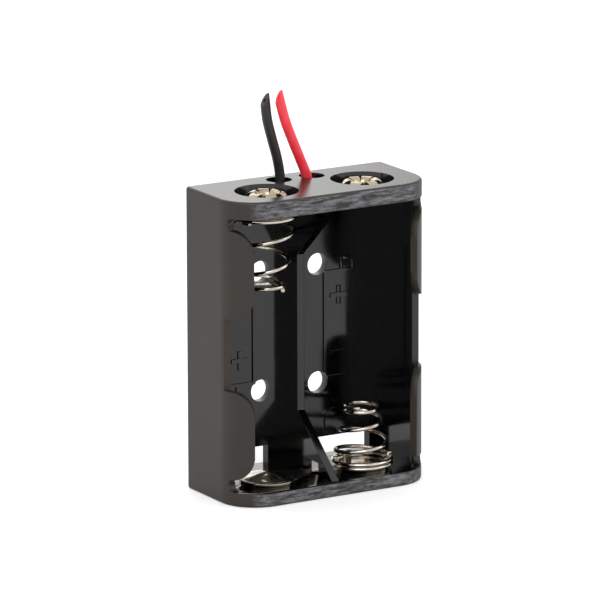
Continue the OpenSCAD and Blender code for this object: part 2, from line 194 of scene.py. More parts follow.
def bevelEdges(piece, width, segments, angle):
    smoothAll(piece.data)
    bevel = piece.modifiers.new("softEdges", "BEVEL")
    bevel.width, bevel.segments, bevel.limit_method = width, segments, "ANGLE"
    bevel.angle_limit = math.radians(angle)
    bevel.miter_outer = "MITER_ARC"
    keepModified(piece)


def weightNormals(piece):
    # large flat faces keep their own normals beside the rounded edges
    weights = piece.modifiers.new("flatFaces", "WEIGHTED_NORMAL")
    weights.mode, weights.weight, weights.keep_sharp = "FACE_AREA", 60, False
    keepModified(piece)


def lathe(name, profile, sides, material, centre=(0, 0, 0)):
    # turns closed (radius, height) points about Z
    work = bmesh.new()
    rings = []
    for i in range(sides):
        a = math.tau * i / sides
        rings.append([work.verts.new((centre[0] + r * math.cos(a), centre[1] + r * math.sin(a), centre[2] + z))
                      for r, z in profile])
    for i, ring in enumerate(rings):
        after = rings[(i + 1) % sides]
        for j in range(len(profile)):
            k = (j + 1) % len(profile)
            work.faces.new((ring[j], after[j], after[k], ring[k]))
    bmesh.ops.remove_doubles(work, verts=work.verts, dist=1e-7)
    bmesh.ops.recalc_face_normals(work, faces=work.faces)
    return newPiece(name, toMesh(name, work), material)


def newTree(name, sockets):
    tree = bpy.data.node_groups.new(name, "GeometryNodeTree")
    tree.interface.new_socket("Geometry", in_out="INPUT", socket_type="NodeSocketGeometry")
    for socketName, kind in sockets:
        tree.interface.new_socket(socketName, in_out="INPUT", socket_type="NodeSocket" + kind)
    tree.interface.new_socket("Geometry", in_out="OUTPUT", socket_type="NodeSocketGeometry")
    return tree, addNode(tree, "NodeGroupInput").outputs


def finishTree(tree, geometry, material):
    solid = addNode(tree, "GeometryNodeRealizeInstances", {0: geometry})
    painted = addNode(tree, "GeometryNodeSetMaterial", {0: solid, "Material": material})
    addNode(tree, "NodeGroupOutput", {0: painted})


def growPiece(name, base, tree, sizes):
    # runs a tree on a base object and keeps the result as a plain mesh
    carrier = bpy.data.objects.new(name + "Base", base)
    scene.collection.objects.link(carrier)
    modifier = carrier.modifiers.new(tree.name, "NODES")
    modifier.node_group = tree
    keys = {s.name: s.identifier for s in tree.interface.items_tree if s.in_out == "INPUT"}
    for key, value in sizes.items():
        modifier[keys[key]] = value
    mesh = bpy.data.meshes.new_from_object(carrier.evaluated_get(bpy.context.evaluated_depsgraph_get()))
    bpy.data.objects.remove(carrier)
    return newPiece(name, mesh)


def giveSkin(tree, shader, mask, tones, marks, roughness, relief, strength):
    # colour drifts between two tones; roughness and relief follow the fine marks
    colour = addNode(tree, "ShaderNodeMix", {0: mask, 6: toLinear(tones[0]), 7: toLinear(tones[1])}, data_type="RGBA")
    rough = addNode(tree, "ShaderNodeMapRange", {0: marks, 3: roughness[0], 4: roughness[1]})
    bump = addNode(tree, "ShaderNodeBump", {"Height": marks, "Distance": relief, "Strength": strength})
    tree.links.new(colour.outputs[2], shader.inputs["Base Color"])
    tree.links.new(rough.outputs[0], shader.inputs["Roughness"])
    tree.links.new(bump.outputs[0], shader.inputs["Normal"])


# hex colours; millimetres for the width of the spark grain, flow marks and scuffs, for the dust's spacing and from
# the bays' middle to the end walls; scuffDraw is the scale along X that draws the scuffs out
moulding = {"bloom": ("#211b15", "#2a231b"), "worn": ("#1f1d1d", "#77757a"), "dust": "#4a4846",
            "core": ("#020203", "#050506"), "grain": 0.16, "flow": 4.0, "scuff": 0.3, "scuffDraw": 0.16,
            "dustSpacing": 1.6, "endBand": 16.56}


def texturedPolystyrene(settings):
    # general-purpose polystyrene moulded against spark-eroded steel: black with a warm grey bloom and a satin
    # sheen, smoother on the top, dull and scuffed grey on the end walls' front edges
    material, tree, shader = newMaterial("texturedPolystyrene", "#0b0a0a", IOR=1.59, Specular_IOR_Level=0.37)
    place = addNode(tree, "ShaderNodeTexCoord").outputs["Object"]
    height = addNode(tree, "ShaderNodeSeparateXYZ", {0: place}).outputs[2]
    normal = addNode(tree, "ShaderNodeSeparateXYZ", {0: addNode(tree, "ShaderNodeNewGeometry").outputs["Normal"]})
    # masks: the end walls' front edges, and the faces that look up
    height = addNode(tree, "ShaderNodeMath", {0: height, 1: bay["middle"] * mm}, operation="SUBTRACT")
    height = addNode(tree, "ShaderNodeMath", {0: height}, operation="ABSOLUTE")
    endBand = addNode(tree, "ShaderNodeMath", {0: height, 1: settings["endBand"] * mm}, operation="GREATER_THAN")
    frontEdge = addNode(tree, "ShaderNodeMapRange", {0: normal.outputs[1], 1: -0.80, 2: -0.97})
    frontEdge = addNode(tree, "ShaderNodeMath", {0: frontEdge, 1: endBand}, operation="MULTIPLY")
    upFace = addNode(tree, "ShaderNodeMath", {0: normal.outputs[2], 1: 0.9}, operation="GREATER_THAN")
    # patterns: round spark grains, slow flow marks, scuffs drawn along X, specks of dust
    scales = [1 / (settings[key] * mm) for key in ("grain", "flow", "scuff", "dustSpacing")]
    grain = addNode(tree, "ShaderNodeTexNoise", {"Vector": place, "Scale": scales[0], "Detail": 2.0})
    flow = addNode(tree, "ShaderNodeTexNoise", {"Vector": place, "Scale": scales[1], "Detail": 1.0})
    drawn = addNode(tree, "ShaderNodeMapping", {"Vector": place, "Scale": (settings["scuffDraw"], 1, 1)})
    scuffs = addNode(tree, "ShaderNodeTexNoise", {"Vector": drawn, "Scale": scales[2], "Detail": 4.0,
                                                  "Roughness": 0.7})
    cells = addNode(tree, "ShaderNodeTexVoronoi", {"Vector": place, "Scale": scales[3]})
    dust = addNode(tree, "ShaderNodeMath", {0: cells.outputs["Distance"], 1: 0.035}, operation="LESS_THAN")
    # colour: the bloom, greyer at the scuffed edges, a few pale specks
    bloom = [toLinear(tone) for tone in settings["bloom"]]
    bloom = addNode(tree, "ShaderNodeMix", {0: flow, 6: bloom[0], 7: bloom[1]}, data_type="RGBA").outputs[2]
    worn = addNode(tree, "ShaderNodeValToRGB", {0: scuffs})
    for stop, position, tone in zip(worn.color_ramp.elements, (0.40, 0.66), settings["worn"]):
        stop.position, stop.color = position, toLinear(tone)
    colour = addNode(tree, "ShaderNodeMix", {0: frontEdge, 6: bloom, 7: worn}, data_type="RGBA").outputs[2]
    colour = addNode(tree, "ShaderNodeMix", {0: dust, 6: colour, 7: toLinear(settings["dust"])}, data_type="RGBA")
    tree.links.new(colour.outputs[2], shader.inputs["Base Color"])
    # roughness: 0.24 on the top, 0.36 to 0.50 on the sides, 0.46 where it is scuffed
    satin = addNode(tree, "ShaderNodeMapRange", {0: grain, 3: 0.36, 4: 0.50})
    rough = addNode(tree, "ShaderNodeMix", {0: upFace, 2: satin, 3: 0.24})
    rough = addNode(tree, "ShaderNodeMix", {0: frontEdge, 2: rough, 3: 0.46})
    tree.links.new(rough.outputs[0], shader.inputs["Roughness"])
    # relief: grain 8 microns deep, scuffs 60 microns on the edges, slow sink waves 20 microns
    scuffHeight = addNode(tree, "ShaderNodeMath", {0: scuffs, 1: frontEdge}, operation="MULTIPLY")
    relief = addNode(tree, "ShaderNodeBump", {"Height": grain, "Distance": 0.008 * mm, "Strength": 0.6})
    relief = addNode(tree, "ShaderNodeBump", {"Height": scuffHeight, "Distance": 0.06 * mm, "Strength": 0.8,
                                              "Normal": relief})
    relief = addNode(tree, "ShaderNodeBump", {"Height": flow, "Distance": 0.02 * mm, "Strength": 0.7,
                                              "Normal": relief})
    tree.links.new(relief.outputs[0], shader.inputs["Normal"])
    return material


def polishedPolystyrene(settings):
    # the same polystyrene moulded against the polished core: jet black and mirror-bright, with slow sink waves
    material, tree, shader = newMaterial("polishedPolystyrene", "#030304", IOR=1.59, Specular_IOR_Level=0.5)
    place = addNode(tree, "ShaderNodeTexCoord").outputs["Object"]
    flow = addNode(tree, "ShaderNodeTexNoise", {"Vector": place, "Scale": 1 / (settings["flow"] * mm), "Detail": 1.0})
    giveSkin(tree, shader, flow, settings["core"], flow, (0.07, 0.16), 0.02 * mm, 0.7)
    return material


def platedMetal(name, hexColour, tarnishHex, roughness, grainWidth, relief):
    # a bright metal with slow clouds of tarnish and fine rolling or drawing marks
    material, tree, shader = newMaterial(name, hexColour, Metallic=1.0, Roughness=roughness)
    place = addNode(tree, "ShaderNodeTexCoord").outputs["Object"]
    cloud = addNode(tree, "ShaderNodeTexNoise", {"Vector": place, "Scale": 1 / (1.8 * mm), "Detail": 3.0})
    marks = addNode(tree, "ShaderNodeTexNoise", {"Vector": place, "Scale": 1 / grainWidth, "Detail": 2.0})
    patch = addNode(tree, "ShaderNodeMapRange", {0: cloud, 1: 0.42, 2: 0.72})
    giveSkin(tree, shader, patch, (hexColour, tarnishHex), marks, (roughness * 0.6, roughness * 1.5), relief, 0.7)
    return material


def leadInsulation(name, hexColour, paleHex):
    # extruded soft PVC: a satin skin with faint draw lines along the lead and cloudy scuffs
    material, tree, shader = newMaterial(name, hexColour, Roughness=0.38, IOR=1.53)
    place = addNode(tree, "ShaderNodeTexCoord").outputs["Object"]
    drawn = addNode(tree, "ShaderNodeMapping", {"Vector": place, "Scale": (1, 1, 0.08)})
    lines = addNode(tree, "ShaderNodeTexNoise", {"Vector": drawn, "Scale": 1 / (0.15 * mm), "Detail": 2.0})
    cloud = addNode(tree, "ShaderNodeTexNoise", {"Vector": place, "Scale": 1 / (1.2 * mm), "Detail": 3.0})
    patch = addNode(tree, "ShaderNodeMapRange", {0: cloud, 1: 0.35, 2: 0.75})
    giveSkin(tree, shader, patch, (hexColour, paleHex), lines, (0.28, 0.48), 0.02 * mm, 0.5)
    return material


textured = texturedPolystyrene(moulding)
polished = polishedPolystyrene(moulding)
# drawn spring wire with bright nickel: thin hard highlights, pale and faintly warm
nickelWire = platedMetal("nickelPlatedSpringWire", "#d6d0c6", "#a89b8c", 0.11, 0.12 * mm, 0.004 * mm)
# rolled steel sheet with nickel: mirrors the dark bay, and yellows in patches
nickelSheet = platedMetal("nickelPlatedSteelSheet", "#c4bbab", "#8f7f69", 0.14, 0.10 * mm, 0.004 * mm)
# rolled brass under thin nickel: warm cream petals with soft highlights
eyeletBrass = platedMetal("nickelPlatedBrassEyelet", "#bdae97", "#8c7757", 0.17, 0.08 * mm, 0.006 * mm)
# bare copper strands: orange, a little oxidised
strandCopper = platedMetal("copperStrands", "#c88a5c", "#8f5a38", 0.28, 0.08 * mm, 0.003 * mm)
# tin solder as it froze: grey, with a slightly grainy skin
tinSolder = platedMetal("tinSolder", "#c4c4c6", "#8e8e92", 0.26, 0.14 * mm, 0.010 * mm)
blackVinyl = leadInsulation("blackVinyl", "#131110", "#1d1a19")
redVinyl = leadInsulation("redVinyl", "#f02a3a", "#f54450")
print("materials ready:", len(bpy.data.materials))


caseShell = {"wide": 27.0, "deep": 12.8, "high": 36.8, "cornerRadius": 4.7, "backRadius": 0.5, "rimRadius": 0.35,
             "wall": 0.9, "back": 1.2, "lipWrap": 60, "lipLength": 10.65, "lipCorner": 3.0, "lipOverrun": 0.5,
             "notch": 1.5, "notchEndY": -3.1, "wallY": -2.5, "edgeWidth": 0.09}
openings = {"holeRadius": 1.35, "holeX": 3.94, "holeZ": 7.275, "slotX": (3.0, 11.2), "slotZ": (1.7, 4.1),
            "wellRadius": 3.8, "wellZ": 35.6, "eyeletRadius": 1.3, "wireRadius": 1.55, "wireX": 2.25, "wireY": 3.65}
# axes of the two rounded front corners, and the back wall's middle
cornerX = caseShell["wide"] / 2 - caseShell["cornerRadius"]
cornerY = caseShell["cornerRadius"] - caseShell["deep"] / 2
backMiddle = caseShell["deep"] / 2 - caseShell["back"] / 2
upright = Matrix.Rotation(math.radians(90), 4, "X")
alongX = Matrix.Rotation(math.radians(90), 4, "Z") @ upright


def prism(outline, low, high, turn=None):
    # closed prism over an outline in X and Y
    work = bmesh.new()
    floor = [work.verts.new((x, y, low)) for x, y in outline]
    roof = [work.verts.new((x, y, high)) for x, y in outline]
    work.faces.new(floor[::-1])
    work.faces.new(roof)
    for i in range(len(outline)):
        k = (i + 1) % len(outline)
        work.faces.new((floor[i], floor[k], roof[k], roof[i]))
    bmesh.ops.recalc_face_normals(work, faces=work.faces)
    if turn:
        bmesh.ops.transform(work, matrix=turn, verts=work.verts)
    return work


def arc(x, y, radius, start, end, steps):
    angles = [math.radians(start + (end - start) * i / steps) for i in range(steps + 1)]
    return [(x + radius * math.cos(a), y + radius * math.sin(a)) for a in angles]


def circle(x, y, radius, sides):
    return arc(x, y, radius, 0, 360 * (sides - 1) / sides, sides - 1)


def boxOutline(x0, x1, y0, y1):
    return [(x0, y0), (x1, y0), (x1, y1), (x0, y1)]


def cutAway(body, cutters):
    for work in cutters:
        tool = bpy.data.objects.new("cutter", toMesh("cutter", work))
        scene.collection.objects.link(tool)
        modifier = body.modifiers.new("cut", "BOOLEAN")
        modifier.operation, modifier.solver, modifier.object = "DIFFERENCE", "EXACT", tool
        keepModified(body)
        bpy.data.objects.remove(tool)


def screwHoles(holes):
    # four round holes through the back wall
    drill = circle(0, 0, holes["holeRadius"], 45)
    places = [(side * holes["holeX"], 9, bay["middle"] + up * holes["holeZ"]) for side in (1, -1) for up in (1, -1)]
    return [prism(drill, 0, 6, Matrix.Translation(place) @ upright) for place in places]


def lipSpandrel(settings, side, tipZ, upward):
    # what lies outside a lip's rounded free corner, cut square to the curled shell
    radius, corner, over = settings["cornerRadius"], settings["lipCorner"], settings["lipOverrun"]
    centreZ = tipZ + upward * corner
    # outline in distance beyond the lip's tip and height, then bent round the corner's axis
    sweep = [math.radians(-4 + 98 * i / 18) for i in range(19)]
    flat = [(corner * math.cos(a) - corner, centreZ - upward * corner * math.sin(a)) for a in sweep]
    outerZ = tipZ - upward * over
    flat += [(flat[-1][0], outerZ), (-corner * 0.5, outerZ), (0.6, outerZ), (0.6, flat[0][1])]
    work = bmesh.new()
    skins = []
    for reach in (radius - 1.4, radius + 0.6):
        skins.append([])
        for s, z in flat:
            angle = math.radians(settings["lipWrap"]) + s / radius
            x, y = cornerX + reach * math.cos(angle), cornerY - reach * math.sin(angle)
            skins[-1].append(work.verts.new((side * x, y, z)))
    for i in range(len(flat)):
        k = (i + 1) % len(flat)
        work.faces.new((skins[0][i], skins[0][k], skins[1][k], skins[1][i]))
    for skin in skins:
        work.faces.new(skin)
    bmesh.ops.triangulate(work, faces=work.faces)
    bmesh.ops.recalc_face_normals(work, faces=work.faces)
    return work


def wallCutters(settings, side):
    # one side wall's window between the lips, its two notches and its lips' free corners
    lipLow, lipHigh = bay["low"] + settings["notch"], bay["high"] - settings["notch"]
    windowLow, windowHigh = lipLow + settings["lipLength"], lipHigh - settings["lipLength"]
    half = settings["notch"] / 2
    end = settings["notchEndY"] - half
    span = (9.98, 15) if side > 0 else (-15, -9.98)  # from inside the lips' tips to outside the wall
    cutters = [prism(boxOutline(-8, settings["wallY"], windowLow, windowHigh), *span, alongX)]
    for z in (bay["low"] + half, bay["high"] - half):
        notch = [(-8, z - half), (end, z - half)] + arc(end, z, half, -78, 78, 10) + [(end, z + half), (-8, z + half)]
        cutters.append(prism(notch, *span, alongX))
    for z, upward in ((lipLow, 1), (windowLow, -1), (windowHigh, 1), (lipHigh, -1)):
        cutters.append(lipSpandrel(settings, side, z, upward))
    return cutters


def endCutters(holes, side):
    # one bay's well, eyelet hole and wire hole in the upper end wall, and its slot in the back wall; the wire hole
    # is a micron forward, as it would just touch the plane of the back wall's inner face
    x, slot = side * bay["axisX"], sorted(side * v for v in holes["slotX"])
    return [prism(circle(x, bay["axisY"], holes["wellRadius"], 60), holes["wellZ"], 38),
            prism(circle(x, bay["axisY"], holes["eyeletRadius"], 36), 34, 38),
            prism(circle(side * holes["wireX"], holes["wireY"] - 0.001, holes["wireRadius"], 45), 34, 38),
            prism(boxOutline(*slot, 2, 8), *holes["slotZ"])]


def makeShell(settings, holes):
    halfX, halfY = settings["wide"] / 2, settings["deep"] / 2
    back, corner = settings["backRadius"], settings["cornerRadius"]
    outline = (arc(cornerX, cornerY, corner, -90, 0, 20) + arc(halfX - back, halfY - back, back, 0, 90, 6)
               + arc(back - halfX, halfY - back, back, 90, 180, 6) + arc(-cornerX, cornerY, corner, 180, 270, 20))
    block = prism(outline, 0, settings["high"])
    rims = [e for e in block.edges if len(e.link_faces) == 2 and abs(e.verts[0].co.z - e.verts[1].co.z) < 1e-6]
    bmesh.ops.bevel(block, geom=rims, offset=settings["rimRadius"], segments=4, profile=0.5, affect="EDGES")
    body = newPiece("caseShell", toMesh("caseShell", block), textured)
    # the bays in plan: the open front, then the lips' tips and their inner curve
    inner, wrap = settings["wall"], settings["lipWrap"]
    mouthX = cornerX + 2 * corner * math.cos(math.radians(wrap))
    mouthY = cornerY - 2 * corner * math.sin(math.radians(wrap))
    plan = ([(mouthX, mouthY)] + arc(cornerX, cornerY, corner - inner, -wrap, 0, 16)
            + [(halfX - inner, halfY - settings["back"]), (inner - halfX, halfY - settings["back"])]
            + arc(-cornerX, cornerY, corner - inner, 180, 180 + wrap, 16) + [(-mouthX, mouthY)])
    cutters = [prism(plan, bay["low"], bay["high"])]
    for side in (1, -1):
        cutters += wallCutters(settings, side) + endCutters(holes, side)
    cutAway(body, cutters + screwHoles(holes))
    work = bmesh.new()
    work.from_mesh(body.data)
    bmesh.ops.remove_doubles(work, verts=work.verts, dist=0.002)
    bmesh.ops.dissolve_limit(work, angle_limit=math.radians(0.5), verts=work.verts, edges=work.edges)
    body.data = toMesh("caseShell", work)
    return body


rib = {"halfThick": 0.5, "floorY": 5.8, "ribY": 2.45, "gussetY": -5.5, "rise": 7.0, "low": 0.85, "high": 35.55,
       "gateY": (-2.3, 0.7), "gateZ": (1.7, 3.2), "edgeWidth": 0.08}


def makeRib(settings):
    # the low rib between the bays with a gusset at each end, and the gate that the strip passes through
    floor, ridge, front = settings["floorY"], settings["ribY"], settings["gussetY"]
    low, high, rise = settings["low"], settings["high"], settings["rise"]
    side = [(floor, low), (front, low), (front, bay["low"]), (ridge, bay["low"] + rise),
            (ridge, bay["high"] - rise), (front, bay["high"]), (front, high), (floor, high)]
    half = settings["halfThick"]
    body = newPiece("rib", toMesh("rib", prism(side, -half, half, alongX)), textured)
    cutAway(body, [prism(boxOutline(-2, 2, *settings["gateY"]), *settings["gateZ"])])
    return body


# raised marks on the bays' floor: cell-shaped borders, ejector discs and plain polarity signs
marks = {"floorY": 5.2, "height": 0.2, "sunk": 0.1, "padX": (4.75, 8.95), "padZ": (11.2, 24.55), "rim": 0.35,
         "noseX": (7.05, 8.95), "noseHigh": 26.07, "discRadius": 1.7, "discX": 6.55, "discZ": (5.9, 30.5),
         "signX": 6.85, "plusZ": 21.4, "minusZ": 14.3, "span": 2.3, "stroke": 0.5, "signHeight": 0.16,
         "edgeWidth": 0.05}


def makeMarks(settings):
    (x0, x1), (z0, z1), (n0, n1) = settings["padX"], settings["padZ"], settings["noseX"]
    rim, top, floor, sunk = settings["rim"], settings["noseHigh"], settings["floorY"], settings["sunk"]
    bars = [(x0, x0 + rim, z0, z1), (x1 - rim, x1, z0, z1), (x0 + rim, x1 - rim, z0, z0 + rim),
            (x0 + rim, x1 - rim, z1 - rim, z1), (n0, n0 + rim, z1, top), (n1 - rim, n1, z1, top),
            (n0 + rim, n1 - rim, top - rim, top)]
    x, half, thick = settings["signX"], settings["span"] / 2, settings["stroke"] / 2
    plus, minus = settings["plusZ"], settings["minusZ"]
    signs = [(x - half, x + half, minus - thick, minus + thick), (x - half, x + half, plus - thick, plus + thick),
             (x - thick, x + thick, plus + thick, plus + half), (x - thick, x + thick, plus - half, plus - thick)]

    def turned(z, side):
        # the left bay's marks are the right one's turned half a turn, as its cell is
        return bay["middle"] + side * (z - bay["middle"])

    parts = []
    disc = circle(0, 0, settings["discRadius"], 45)
    for side in (1, -1):
        for group, height in ((bars, settings["height"]), (signs, settings["signHeight"])):
            for a, b, c, d in group:
                xs, zs = sorted((side * a, side * b)), sorted((turned(c, side), turned(d, side)))
                parts.append(prism(boxOutline(*xs, floor - height, floor + sunk), *zs))
        for z in settings["discZ"]:
            place = Matrix.Translation((side * settings["discX"], floor + sunk, turned(z, side)))
            parts.append(prism(disc, 0, settings["height"] + sunk, place @ upright))
    whole = bmesh.new()
    for part in parts:
        # the screw holes pass through the marks beside them
        piece = newPiece("mark", toMesh("mark", part), textured)
        cutAway(piece, screwHoles(openings))
        whole.from_mesh(piece.data)
        bpy.data.objects.remove(piece)
    return newPiece("marks", toMesh("marks", whole), textured)


def isPolished(x, y, z):
    # in the bays: within 0.2 mm of the walls' inner surface, between the end walls and before half the back wall
    reach = math.hypot(max(0, abs(x) - cornerX), max(0, cornerY - y))
    inWalls = reach < caseShell["cornerRadius"] - caseShell["wall"] + 0.2
    inBay = inWalls and abs(z - bay["middle"]) < moulding["endBand"] and y < backMiddle
    # or in the wells and the wire holes, up to their bevelled top edges
    inWell = math.hypot(abs(x) - bay["axisX"], y - bay["axisY"]) < openings["wellRadius"] + 0.01
    inWire = math.hypot(abs(x) - openings["wireX"], y - openings["wireY"]) < openings["wireRadius"] + 0.01
    return inBay or (inWell or inWire) and 34 < z < 36.7


caseBody = makeShell(caseShell, openings)
print("case cut out:", len(caseBody.data.polygons), "faces")
ribBody = makeRib(rib)
markBody = makeMarks(marks)
bevelEdges(caseBody, caseShell["edgeWidth"], 2, 30)
bevelEdges(ribBody, rib["edgeWidth"], 2, 30)
bevelEdges(markBody, marks["edgeWidth"], 2, 40)
whole = bmesh.new()
for part in (caseBody, ribBody, markBody):
    whole.from_mesh(part.data)
bmesh.ops.scale(whole, vec=(mm, mm, mm), verts=whole.verts)
for part in (ribBody, markBody):
    bpy.data.objects.remove(part)
caseBody.data = toMesh("caseShell", whole)
caseBody.data.materials.append(textured)
caseBody.data.materials.append(polished)
for polygon in caseBody.data.polygons:
    polygon.material_index = 1 if isPolished(*polygon.center / mm) else 0
smoothAll(caseBody.data)
weightNormals(caseBody)
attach(caseBody, "holder")
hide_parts("case")
print("case shell:", len(caseBody.data.polygons), "faces")


spring = {"Turns": 5.1, "Base turns": 1.45, "Tip turns": 1.15, "Base radius": 3.5 * mm, "Tip radius": 2.0 * mm,
          "Wire": 0.5 * mm, "Gap": 0.02 * mm, "Start angle": math.radians(195), "Steps per turn": 56}
springPlace = {
    "left": {"length": 10.0 * mm, "seat": Vector((-bay["axisX"], bay["axisY"], bay["high"])) * mm, "up": -1,
             "body": "upper_spring", "joint": "upper_spring_press", "heldTurns": 1.70, "keep": 0.0966},
    "right": {"length": 7.7 * mm, "seat": Vector((bay["axisX"], bay["axisY"], bay["low"])) * mm, "up": 1,
              "body": "lower_spring", "joint": "lower_spring_press", "heldTurns": 1.75, "keep": 0.0966},
}


def springTree():
    names = ("Turns", "First turn", "Last turn", "Base turns", "Tip turns", "Base radius", "Tip radius", "Wire",
             "Gap", "Length", "Start angle")
    tree, size = newTree("coneSpring", [(name, "Float") for name in names] + [("Steps per turn", "Int")])
    span = addNode(tree, "ShaderNodeMath", {0: size["Last turn"], 1: size["First turn"]}, operation="SUBTRACT")
    count = addNode(tree, "ShaderNodeMath", {0: span, 1: size["Steps per turn"]}, operation="MULTIPLY")
    line = addNode(tree, "GeometryNodeCurvePrimitiveLine")
    line = addNode(tree, "GeometryNodeResampleCurve", {"Curve": line, "Count": count})
    along = addNode(tree, "GeometryNodeSplineParameter").outputs["Factor"]
    turn = addNode(tree, "ShaderNodeMapRange", {0: along, 3: size["First turn"], 4: size["Last turn"]})
    # the pitch opens between the closed base turns and the closed tip turns
    openEnd = addNode(tree, "ShaderNodeMath", {0: size["Turns"], 1: size["Tip turns"]}, operation="SUBTRACT")
    share = addNode(tree, "ShaderNodeMapRange", {0: turn, 1: size["Base turns"], 2: openEnd})
    pitch = addNode(tree, "ShaderNodeMath", {0: size["Wire"], 1: size["Gap"]}, operation="ADD")
    closed = addNode(tree, "ShaderNodeMath", {0: pitch, 1: size["Turns"], 2: size["Wire"]}, operation="MULTIPLY_ADD")
    opened = addNode(tree, "ShaderNodeMath", {0: size["Length"], 1: closed}, operation="SUBTRACT")
    wave = addNode(tree, "ShaderNodeMath", {0: share, 1: math.tau}, operation="MULTIPLY")
    wave = addNode(tree, "ShaderNodeMath", {0: wave}, operation="SINE")
    lift = addNode(tree, "ShaderNodeMath", {0: wave, 1: -0.03, 2: share}, operation="MULTIPLY_ADD")
    half = addNode(tree, "ShaderNodeMath", {0: size["Wire"], 1: 0.5}, operation="MULTIPLY")
    rise = addNode(tree, "ShaderNodeMath", {0: pitch, 1: turn, 2: half}, operation="MULTIPLY_ADD")
    rise = addNode(tree, "ShaderNodeMath", {0: lift, 1: opened, 2: rise}, operation="MULTIPLY_ADD")
    radius = addNode(tree, "ShaderNodeMapRange", {0: share, 3: size["Base radius"], 4: size["Tip radius"]})
    angle = addNode(tree, "ShaderNodeMath", {0: turn, 1: math.tau, 2: size["Start angle"]}, operation="MULTIPLY_ADD")
    cosine = addNode(tree, "ShaderNodeMath", {0: angle}, operation="COSINE")
    sine = addNode(tree, "ShaderNodeMath", {0: angle}, operation="SINE")
    x = addNode(tree, "ShaderNodeMath", {0: radius, 1: cosine}, operation="MULTIPLY")
    y = addNode(tree, "ShaderNodeMath", {0: radius, 1: sine}, operation="MULTIPLY")
    point = addNode(tree, "ShaderNodeCombineXYZ", {0: x, 1: y, 2: rise})
    coil = addNode(tree, "GeometryNodeSetPosition", {0: line, "Position": point})
    wire = addNode(tree, "GeometryNodeCurvePrimitiveCircle", {"Resolution": 14, "Radius": half})
    wire = addNode(tree, "GeometryNodeCurveToMesh", {"Curve": coil, "Profile Curve": wire, "Fill Caps": True})
    finishTree(tree, wire, nickelWire)
    return tree


coneSpring = springTree()
for side, place in springPlace.items():
    flip = Matrix.Rotation(math.pi, 4, "Y") if place["up"] < 0 else Matrix.Identity(4)
    # the turns held in the claws stay, the open turns close towards them
    for part, first, last in (("SpringBase", 0.0, place["heldTurns"]),
                              ("Spring", place["heldTurns"], spring["Turns"])):
        sizes = dict(spring, **{"First turn": first, "Last turn": last, "Length": place["length"]})
        coil = growPiece(side + part, bpy.data.meshes.new("coilStart"), coneSpring, sizes)
        coil.data.transform(Matrix.Translation(place["seat"]) @ flip)
        for polygon in coil.data.polygons:
            polygon.use_smooth = len(polygon.vertices) == 4
        if part == "SpringBase":
            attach(coil, "holder")
        else:
            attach(coil, place["body"])
            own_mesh(coil)
            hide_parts("spring_" + side)
print("springs wound")


sheets = {"bridgeStrip": "bridge_strip", "springPlate": "spring_plate", "contactPlate": "contact_plate"}
sheetEdge = 0.05 * mm
button = {"radius": 2.9 * mm, "rise": 0.68 * mm, "top": 2.0, "rings": 14, "sides": 72, "sunk": 0.05 * mm}
# the round pad narrows to the neck like a drop: corners in X, Y, in millimetres
shoulder = {"outline": [(-5.25, -3.93), (-0.75, -1.4), (-0.75, -0.2), (-5.25, 2.33)], "low": 1.72, "high": 1.995}


def pressedButton(settings):
    # the smooth swelling that the punch leaves over the whole round pad
    radius, rings, sunk = settings["radius"], settings["rings"], settings["sunk"]
    ring = [radius * i / rings for i in range(rings + 1)]
    profile = [(r, settings["rise"] * math.cos(math.pi / 2 * r / radius) ** 2) for r in ring]
    centre = Vector((-bay["axisX"], bay["axisY"], settings["top"])) * mm
    return lathe("button", profile + [(radius, -sunk), (0, -sunk)], settings["sides"], nickelSheet, centre)


def padShoulder(settings):
    work = prism(settings["outline"], settings["low"], settings["high"])
    bmesh.ops.scale(work, vec=(mm, mm, mm), verts=work.verts)
    piece = newPiece("shoulder", toMesh("shoulder", work), nickelSheet)
    bevelEdges(piece, sheetEdge, 2, 35)
    return piece


for name, node in sheets.items():
    sheet = cleanCopy(name, node, nickelSheet)
    bevelEdges(sheet, sheetEdge, 2, 35)
    if name == "bridgeStrip":
        both = bmesh.new()
        both.from_mesh(sheet.data)
        for extra in (pressedButton(button), padShoulder(shoulder)):
            both.from_mesh(extra.data)
            bpy.data.objects.remove(extra)
        sheet.data = toMesh(name, both)
        sheet.data.materials.append(nickelSheet)
        smoothAll(sheet.data)
    weightNormals(sheet)
    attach(sheet, "holder")
    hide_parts(node)
print("contact sheets laid")


eyelet = {"barrelRadius": 1.25 * mm, "wall": 0.28 * mm, "headRadius": 2.2 * mm, "headLow": 34.1 * mm,
          "headHigh": 34.4 * mm, "lip": 0.08 * mm, "sides": 48, "turned": {"left": 14, "right": 37}}
petal = {"Petals": 6, "Barrel radius": 1.25 * mm, "Wall": 0.28 * mm, "Roll radius": 0.5 * mm,
         "Split height": 35.9 * mm, "Tip share": 0.40, "Roll angle": math.radians(165), "Wander": 0.16 * mm}


